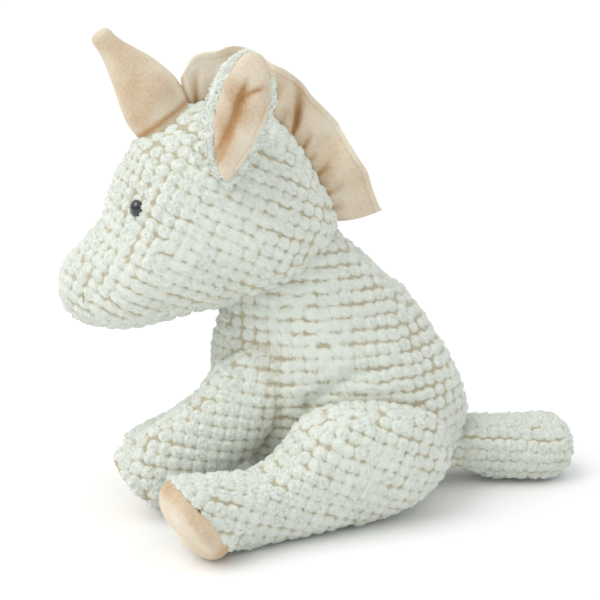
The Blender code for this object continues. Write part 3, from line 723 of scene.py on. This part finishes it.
# %% Front legs
FRONT_LEG = [(-29, 82, 0.4, 0.05), (-30, 80.4, 8, 0.35), (-33, 74, 15, 0.6), (-38, 64, 20, 0.82),
             (-46.6, 53.8, 20.6, 0.94), (-57, 42.2, 20.6, 1.0), (-69.6, 32.8, 20.4, 1.03), (-81, 25.6, 20.4, 1.05),
             (-89.6, 20.4, 19.4, 1.03), (-94.8, 17, 17.8, 0.97), (-96.2, 15.9, 16.8, 0.92), (-94, 18, 10, 0.6)]
FRONT_LEG_X, FRONT_LEG_HALF_WIDTH = 28.5, 16.4
FAR_SLACK = 0.66                # the right front leg is stuffed more loosely and lies lower
FRONT_FACING, FRONT_PUFF = (0.0, -0.76, -0.65), 2.4
for name, side, full in (("left", 1, 1.0), ("right", -1, FAR_SLACK)):
    stations = [(side * (FRONT_LEG_X - 20 * (1 - full)), y, z * (1 - 0.9 * (1 - full)) + 1 - full, high * full,
                 FRONT_LEG_HALF_WIDTH * wide * (0.5 + 0.5 * full)) for y, z, high, wide in FRONT_LEG]
    cover = stuffed_tube(f"front_leg_{name}_cover", stations, 160, 160, FRONT_FACING, lumps=0.6, seed=71 + side)
    legs[cover.name] = cover
    raise_pile(cover, ROW_TILT["front_leg"], seed=81 + side)
    finish_piece(cover, terry, f"front_leg_{name}", (f"front_leg_{name}_skin", f"front_leg_{name}_filling"))
    velour_sole(f"front_sole_{name}", np.array((side * (FRONT_LEG_X - 20 * (1 - full)), -95.8, 15.9 * full + 0.4)),
                FRONT_FACING, 16.6 * full, 14.4 * (0.5 + 0.5 * full), f"front_leg_{name}",
                (f"front_leg_{name}_sole",), 91 + side, FRONT_PUFF)

# %% Tail
TAIL = [(0, 54, 20.6, 0.4, 0.4), (0, 56, 20.6, 9, 9), (0, 62, 20.6, 13, 14), (0, 72, 19.6, 14.4, 16),
        (0, 84, 18.2, 15, 17), (0, 98, 17, 16, 18), (0, 110, 16.8, 16.4, 18.4), (0, 120, 17.2, 15, 16.6),
        (0, 126.4, 17.6, 10.8, 12.2), (0, 129, 17.8, 5, 5.4), (0, 129.6, 17.8, 0.3, 0.3)]
tail_cover = stuffed_tube("tail_cover", TAIL, 150, 150, lumps=0.6, seed=101)
# Where the tail is sewn to the rump the pile sinks as in a seam, and its colour is painted darker as shade.
root_seam_and_shade = 0.8 * seam_band(points_of(tail_cover)[:, 1] - 69, 4.5)
raise_pile(tail_cover, ROW_TILT["tail"], seed=111, stagger=0.5, depth=2.0, seams_and_shade=root_seam_and_shade)
finish_piece(tail_cover, terry, "tail", ("tail_skin", "tail_filling"))

# %% [markdown]
# ## Horn
# The horn is a soft velour cone, fuller behind, with a little nub at its tip where the seam is turned. It is
# sewn flat onto the forehead. A plain cone would be too stiff, so it is rolled like the legs, from a profile.

# %% Horn
HORN_BASE, HORN_TIP = np.array((-79.6, 190.6)), np.array((-108.8, 231.4))
HORN_PROFILE = [(-0.1, 14.6, 0.0), (0.0, 15.6, 0.1), (0.06, 15.9, 0.3), (0.14, 15.8, 0.8), (0.28, 14.8, 1.5),
                (0.45, 12.4, 1.6), (0.62, 9.4, 1.1), (0.76, 6.9, 0.5), (0.86, 5.7, 0.1), (0.9, 5.5, 0.0),
                (0.95, 5.2, 0.0), (0.985, 3.6, 0.0), (1.0, 0.2, 0.0)]      # share, radius, shift backwards
axis = (HORN_TIP - HORN_BASE) / np.linalg.norm(HORN_TIP - HORN_BASE)
behind = np.array((axis[1], -axis[0]))
length = np.linalg.norm(HORN_TIP - HORN_BASE)
horn_line = []
for share, radius, shift in HORN_PROFILE:
    spot = HORN_BASE + axis * share * length + behind * shift
    horn_line.append((0.0, spot[0], spot[1], radius, radius))
horn_cover = stuffed_tube("horn_cover", horn_line, 120, 120, lumps=0.35, seed=121, squareness=1.0)
places = points_of(horn_cover)
foot = np.abs((places[:, 1:] - HORN_BASE) @ axis)
# a slightly lower tone all over, and painted shade at the foot of the horn, where it meets the forehead
paint(horn_cover, "crease_shade", 0.12 + 0.8 * np.exp(-(foot / 1.6) ** 2))
finish_piece(horn_cover, velour, "head", ("horn_skin", "horn_filling"))

# %% [markdown]
# ## Mane
# The mane is a strip of velour folded double and gathered along one edge, so it stands up in waves. A strip
# could be gathered by simulation, but its folds would fall where they like, and these have their places. It is
# made as a sheet rolled into a flat tube: both plies, a soft fold outside, and the gathers at the root.

# %% Mane
MANE_ROOT = [(-68.6, 195.6), (-57, 197.6), (-43, 196.6), (-31, 191.6), (-20.6, 183), (-12.4, 173), (-6, 161),
             (-2.4, 150), (2.0, 138.4)]
MANE_EDGE = [(-70.6, 209.6), (-62, 220.6), (-43.6, 223), (-27, 216.8), (-12, 205.4), (0.6, 192), (11.6, 177),
             (19.8, 161), (27.8, 143.4)]
MANE_FOLDS = [(0.055, 0.9, 0.75, 0.03), (0.115, 0.6, 0.5, 0.05), (0.20, 0.5, 0.5, 0.0), (0.29, 0.8, 0.75, 0.0),
              (0.345, 0.7, 0.5, 0.02), (0.405, 0.9, 0.85, 0.0), (0.47, 0.55, 0.4, 0.0), (0.545, 1.15, 1.1, -0.09),
              (0.625, 0.9, 0.45, -0.05), (0.69, 0.6, 0.3, 0.0), (0.765, 0.9, 0.42, -0.03), (0.865, 0.8, 0.5, -0.04),
              (0.94, 0.5, 0.35, 0.0)]      # share of the length, depth, reach across, drift along


def mane_ruffle():
    """The strip: it swings from side to side, and each fold pinches it in near the root."""
    made, turn, share = rolled_sheet("mane_ruffle", 96, 420)
    root = open_curve([(0, y, z) for y, z in MANE_ROOT], share)[:, 1:3]
    edge = open_curve([(0, y, z) for y, z in MANE_EDGE], share)[:, 1:3]
    angle = turn * math.tau
    out = (1 - np.cos(angle)) / 2                      # 0 at the root, 1 at the folded edge
    ply = np.sign(np.sin(angle)) * np.abs(np.sin(angle)) ** 0.6
    bend = share + 0.012 * np.sin(share * 37)
    swing = 4.6 * np.sin(math.tau * 2.6 * bend + 0.4) + 2.4 * np.sin(math.tau * 5.2 * bend + 1.9 * out)
    valley = np.zeros(len(share))
    for middle, depth, reach, drift in MANE_FOLDS:
        gap = (share - middle - drift * out ** 1.5) / (0.010 + 0.022 * out)
        valley = np.maximum(valley, depth * np.exp(-gap ** 2) * np.clip(1 - out / reach, 0, 1) ** 0.8)
    thick = 3.6 - 1.5 * smooth(out, 0.2, 0.8) - 2.6 * valley + 0.5 * smooth(out, 0.88, 0.96)
    pull = 3.4 * np.clip(valley, 0, 1) * smooth(out, 0.1, 0.5)
    x = swing * out ** 0.9 - pull + ply * np.maximum(thick, 0.9)
    ends = smooth(share, 0, 0.03) * smooth(1 - share, 0, 0.02)
    width = edge - root
    flutter = 1 + 0.03 * np.sin(math.tau * 5 * bend)
    across = root + width * (out * flutter)[:, None]
    droop = 1.4 * np.sin(math.pi * out) * smooth(share, 0.96, 1.0)
    places = np.stack([x * (0.35 + 0.65 * ends), across[:, 0], across[:, 1] - droop], 1)
    set_points(made, places)
    hem = np.exp(-((out - 0.87) / 0.016) ** 2)
    # painted shade in the valleys of the folds and in a line just inside the rolled edge; the rolled edge is lighter
    paint(made, "crease_shade", 0.06 + 0.9 * valley + 0.3 * hem - 0.25 * smooth(out, 0.88, 0.95))
    close_seams(made)
    return made


mane = mane_ruffle()
finish_piece(mane, velour, "head", ("mane_ply_left", "mane_ply_right"))

# %% [markdown]
# ## Ears
# An ear is a leaf of terry with a velour lining, folded once along its length where it is sewn to the head.
# The terry curls round its edge, and the fold leaves a deep groove in the lining. One bent sheet could carry
# both colours, but the two cloths have their own thickness, so each is a thin pillow of its own.

# %% Ears
EAR_OUTLINE = [(-52, 165), (-58.6, 176), (-61, 190), (-60, 203.5), (-54.4, 216.4), (-43.6, 225.8), (-34.4, 221),
               (-29, 208), (-31.4, 194), (-38, 180), (-46, 169)]
EAR_LINING = [(-52.6, 167.6), (-56.2, 178), (-57, 188), (-55.8, 201), (-51.2, 213), (-44.6, 222.8), (-38, 225),
              (-33, 220), (-31.8, 208.7), (-33.4, 195.4), (-40.4, 182), (-47.2, 172)]
EAR_CENTRE = (-45.0, 197.0)
EAR_X, EAR_ROOT_Z, EAR_LEAN, EAR_THICK = 45.6, 168, math.radians(2), 5.0
FAR_EAR_LEAN, FAR_EAR_HEIGHT = math.radians(12), 0.9      # the right ear hangs out more, and is puckered
EAR_FOLD = [(-40.6, 217.5), (-45.1, 205.4), (-48.8, 194.3), (-52.4, 185.6), (-56.4, 178)]
EAR_CREASE = [(-44.6, 204.4), (-41.0, 207.4), (-33.0, 210.6)]
EAR_STITCH = [(-31.8, 200), (-38, 184.4), (-46, 173)]


def ear_place(leaf, side):
    """Leans a flat leaf outwards and puts it at its side of the head."""
    lean, short = (EAR_LEAN, 1.0) if side > 0 else (FAR_EAR_LEAN, FAR_EAR_HEIGHT)
    rise = (leaf[:, 2] - EAR_ROOT_Z) * short
    return np.stack([side * (EAR_X + leaf[:, 0] * math.cos(lean) + rise * math.sin(lean)), leaf[:, 1],
                     EAR_ROOT_Z + rise * math.cos(lean) - leaf[:, 0] * math.sin(lean)], 1)


# %% An ear of two leaves


def ear(side, name):
    """Makes the terry back and the velour lining of one ear, and gives the back."""
    cover, directions = ball(f"ear_back_{name}_cover", 64)
    leaf = pillow(directions, EAR_OUTLINE, EAR_CENTRE, lambda y, z: EAR_THICK, fullness=0.7)
    leaf[:, 0] = np.where(leaf[:, 0] > 0, leaf[:, 0] * 0.3, leaf[:, 0])
    set_points(cover, ear_place(leaf, side))
    if side < 0:
        cover.data.flip_normals()
    raise_pile(cover, ROW_TILT["ear"], depth=1.0, seed=141 + side)
    cover.data.attributes["pile"].data.foreach_set("value", np.full(len(leaf), 0.9, np.float32))
    finish_piece(cover, terry, f"ear_{name}", (f"ear_back_{name}",))

    lining, directions = ball(f"ear_lining_{name}_cover", 66)
    leaf = pillow(directions, EAR_LINING, EAR_CENTRE, lambda y, z: EAR_THICK, fullness=0.55)
    spots = leaf[:, 1:]
    fold, down = away_from(spots, EAR_FOLD)
    groove = np.exp(-(fold / (1.1 + 1.3 * down)) ** 2) * smooth(down, 0.0, 0.25)
    slope = np.exp(-(fold / 5.5) ** 2) * smooth(down, 0.0, 0.3)
    branch, reach = away_from(spots, EAR_CREASE)
    tuck = np.exp(-(branch / 1.0) ** 2) * smooth(1 - reach, 0.0, 0.3)
    front = leaf[:, 0] > 0
    dent = -2.9 * groove * (1 - 0.75 * down) - 2.3 * slope * (1 - 0.8 * down) - 1.3 * tuck
    leaf[:, 0] += 2.2 + front * (dent + 0.4 * waves(leaf, 15, 151))
    set_points(lining, ear_place(leaf, side))
    if side < 0:
        lining.data.flip_normals()
    stitch = seam_band(away_from(spots, EAR_STITCH)[0] - 2.6, 0.35)
    # painted shade in the groove of the fold, on its slope and in the tuck, and a thin darker line along the
    # stitching
    paint(lining, "crease_shade", 0.12 + 0.95 * groove + 0.4 * slope + 0.7 * tuck + 0.3 * stitch)
    finish_piece(lining, velour, f"ear_{name}", (f"ear_lining_{name}",))
    return cover


ears = {}
for name, side in SIDES:
    ears[name] = ear(side, name)

# %% [markdown]
# ## Eyes
# Safety eyes are polished domes on a stem that a washer locks behind the cloth. The dome sinks a little into
# the pile. It could be turned from a profile, but a ball, flattened and cut off behind, has the same form.

# %% Eyes
EYE_RADIUS, EYE_FLATNESS, EYE_CUT, EYE_SINK = 4.3, 0.72, -1.4, 0.5


def surface_point(piece, start, way):
    """Where an arrow from start first meets a piece."""
    tree = BVHTree.FromObject(piece, bpy.context.evaluated_depsgraph_get())
    return tree.ray_cast(Vector(start) * MM, Vector(way))[0] / MM


for name, side in SIDES:
    spot = surface_point(head_cover, (side * 80, *EYE_SPOT), (-side, 0, 0))
    facing = Vector((side * 0.4, -0.91, 0.06)).normalized()
    deselect()
    bpy.ops.mesh.primitive_uv_sphere_add(segments=48, ring_count=32, radius=EYE_RADIUS * MM)
    eye = bpy.context.active_object
    eye.name = f"eye_{name}_dome"
    bpy.ops.object.mode_set(mode="EDIT")
    bpy.ops.mesh.select_all(action="SELECT")
    bpy.ops.transform.resize(value=(1, 1, EYE_FLATNESS))
    bpy.ops.mesh.bisect(plane_co=(0, 0, EYE_CUT * MM), plane_no=(0, 0, 1), clear_inner=True, use_fill=True)
    bpy.ops.object.mode_set(mode="OBJECT")
    turn = facing.to_track_quat("Z", "Y").to_matrix().to_4x4()
    eye.data.transform(Matrix.Translation((spot - facing * EYE_SINK) * MM) @ turn)
    finish_piece(eye, eye_plastic, "head", (f"eye_{name}", f"eye_washer_{name}"))
    print(eye.name, "sits at", [round(v, 1) for v in spot])

# %% [markdown]
# ## Mouth stitches
# A short upright stitch on each side of the muzzle marks the mouth. It could be a dark line in the colour, but
# thread stands out of the pile, so it is a thin tube laid on the finished surface.

# %% Mouth stitches
MOUTH_Y, MOUTH_TOP, MOUTH_LOW = -119.4, 110.6, 104.8

for name, side in SIDES:
    stitch_line = []
    for share, radius in ((0.0, 0.05), (0.12, 0.35), (0.5, 0.42), (0.88, 0.35), (1.0, 0.05)):
        height = MOUTH_TOP + (MOUTH_LOW - MOUTH_TOP) * share
        spot = surface_point(head_cover, (side * 80, MOUTH_Y, height), (-side, 0, 0))
        stitch_line.append((spot.x + side * 0.2, spot.y, spot.z, radius, radius))
    stitch = stuffed_tube(f"mouth_stitch_{name}", stitch_line, 12, 24, lumps=0.0, squareness=1.0)
    finish_piece(stitch, thread, "head")

# %% [markdown]
# ## Painted shade in the folds
# Where a leg presses on the torso, the fold between them lies in shade, and that shade is painted into the
# colour: the pile colour is lowered near another piece, which draws the folds at the roots of the legs. The
# pile could be pressed flat as well, but in so narrow a fold only its tone is seen.

# %% Paint shade into the folds
FOLD_REACH, FOLD_SHADE = 3.6, 0.7


def part_pile(piece, others, reach):
    """Paints shade into a piece near others, by lowering its pile colour; reach is in millimetres."""
    trees = [BVHTree.FromObject(other, bpy.context.evaluated_depsgraph_get()) for other in others]
    places = points_of(piece) * MM
    gaps = np.array([min(tree.find_nearest(Vector(p), 4 * reach * MM)[3] or 1.0 for tree in trees) for p in places])
    pile = painted(piece, "pile")
    pile *= 1 - FOLD_SHADE * np.exp(-(gaps / (reach * MM)) ** 2)
    piece.data.attributes["pile"].data.foreach_set("value", pile)
    return int((gaps < reach * MM).sum())


print("points in folds:", part_pile(torso_cover, list(legs.values()), FOLD_REACH))
for leg in legs.values():
    print(leg.name, part_pile(leg, [torso_cover], FOLD_REACH))

# %% [markdown]
# ## Curls of wool
# The loops of the yarn are brushed open, so every bobble ends in short bent curls, and they make the soft
# outline. Hair strands could draw them, but strands are lost when the toy leaves as plain meshes. One curl is a
# triangle that is pulled up, pulled aside and closed to a point. Its copies are set on the bobbles, each turned
# and leant its own way, as one mesh for each part.

# %% One curl
CURL_RADIUS, CURL_ROOT, CURL_STEM, CURL_TIP = 0.29, -0.35, (0.35, 0, 1.0), (0.9, 0, 0.1)


def one_curl():
    """The points and faces of a curl: a bent stem that ends in a point."""
    deselect()
    bpy.ops.mesh.primitive_circle_add(vertices=3, radius=CURL_RADIUS * MM, location=(0, 0, CURL_ROOT * MM))
    made = bpy.context.active_object
    bpy.ops.object.mode_set(mode="EDIT")
    bpy.ops.mesh.select_all(action="SELECT")
    bpy.ops.mesh.extrude_region_move(TRANSFORM_OT_translate={"value": [MM * way for way in CURL_STEM]})
    bpy.ops.transform.resize(value=(0.9, 0.9, 0.9))
    bpy.ops.mesh.extrude_region_move(TRANSFORM_OT_translate={"value": [MM * way for way in CURL_TIP]})
    bpy.ops.mesh.merge(type="COLLAPSE")
    bpy.ops.object.mode_set(mode="OBJECT")
    places = points_of(made)
    faces = [list(face.vertices) for face in made.data.polygons]
    bpy.data.objects.remove(made, do_unlink=True)
    print("one curl:", len(places), "points,", len(faces), "faces")
    return places, faces


curl_points, curl_faces = one_curl()


# %% How densely curls may stand


def room_of(piece):
    """How much cloth belongs to each point, so that the curls stand equally dense everywhere."""
    corners = np.empty(len(piece.data.loops), np.int32)
    piece.data.loops.foreach_get("vertex_index", corners)
    areas, sides = np.empty(len(piece.data.polygons)), np.empty(len(piece.data.polygons), np.int32)
    piece.data.polygons.foreach_get("area", areas)
    piece.data.polygons.foreach_get("loop_total", sides)
    return np.bincount(corners, np.repeat(areas / sides, sides), len(piece.data.vertices))


# %% Curls on a part
ON_BOBBLE, OFF_FLOOR = 0.38, 1.2          # curls grow where the pile is at least this high, and clear of the floor
CURL_LEAN, CURL_SIZE = (0.6, 1.3), (0.45, 0.82)


def wool_curls(name, piece, body, count, seed, skip=None, long=1.0):
    """Sets curls on a terry piece, mostly on its bobbles; skip says which points are hidden."""
    rng = np.random.default_rng(seed)
    places, arrows = points_of(piece), normals_of(piece)
    pile = painted(piece, "pile")
    wanted = (pile > ON_BOBBLE) & (places[:, 2] > OFF_FLOOR)
    if skip is not None:
        wanted &= ~skip(places)
    share = room_of(piece) * wanted
    chosen = rng.choice(len(places), min(count, int(wanted.sum())), replace=False, p=share / share.sum())
    places, arrows = places[chosen], arrows[chosen]
    total = len(chosen)
    side = rng.normal(size=(total, 3))
    side -= arrows * np.sum(side * arrows, 1, keepdims=True)
    side /= np.linalg.norm(side, axis=1, keepdims=True)
    lean = rng.uniform(*CURL_LEAN, (total, 1))
    up = arrows * np.cos(lean) + side * np.sin(lean)
    out = side * np.cos(lean) - arrows * np.sin(lean)
    third = np.cross(up, out)
    size = rng.uniform(*CURL_SIZE, (total, 1, 1)) * long
    local = curl_points[None] * size
    wool_points = (places[:, None] + local[:, :, :1] * out[:, None] + local[:, :, 1:2] * third[:, None]
                   + local[:, :, 2:] * up[:, None])
    wool_points[:, :, 2] = np.maximum(wool_points[:, :, 2], 0.2)
    step = len(curl_points)
    faces = [[corner + step * number for corner in face] for number in range(total) for face in curl_faces]
    mesh = bpy.data.meshes.new(name)
    mesh.from_pydata((wool_points.reshape(-1, 3) * MM).tolist(), [], faces)
    made = bpy.data.objects.new(name, mesh)
    scene.collection.objects.link(made)
    close_seams(made, weld=False)
    finish_piece(made, wool, body, rounded=False)


# %% Curls all over
CURLS = {"torso": 21500, "head": 21500, "tail": 10000, "hind_leg": 13500, "front_leg": 9500, "ear": 3400}
wool_curls("torso_wool", torso_cover, "torso", CURLS["torso"], 301, lambda p: (p[:, 2] > 122) & (p[:, 1] < -4))
wool_curls("head_wool", head_cover, "head", CURLS["head"], 302)
wool_curls("tail_wool", tail_cover, "tail", CURLS["tail"], 303, lambda p: p[:, 1] < 64)
for name, side in SIDES:
    wool_curls(f"hind_leg_{name}_wool", legs[f"hind_leg_{name}_cover"], f"hind_leg_{name}", CURLS["hind_leg"],
               310 + side, lambda p: np.abs(p[:, 0]) < 38)
    wool_curls(f"front_leg_{name}_wool", legs[f"front_leg_{name}_cover"], f"front_leg_{name}",
               CURLS["front_leg"], 320 + side)
    wool_curls(f"ear_{name}_wool", ears[name], f"ear_{name}", CURLS["ear"], 330 + side,
               lambda p: (np.abs(p[:, 0]) > EAR_X + 0.6 + (p[:, 2] - EAR_ROOT_Z) * 0.22 * (p[:, 0] < 0))
               | (p[:, 2] > 219), long=1.9)
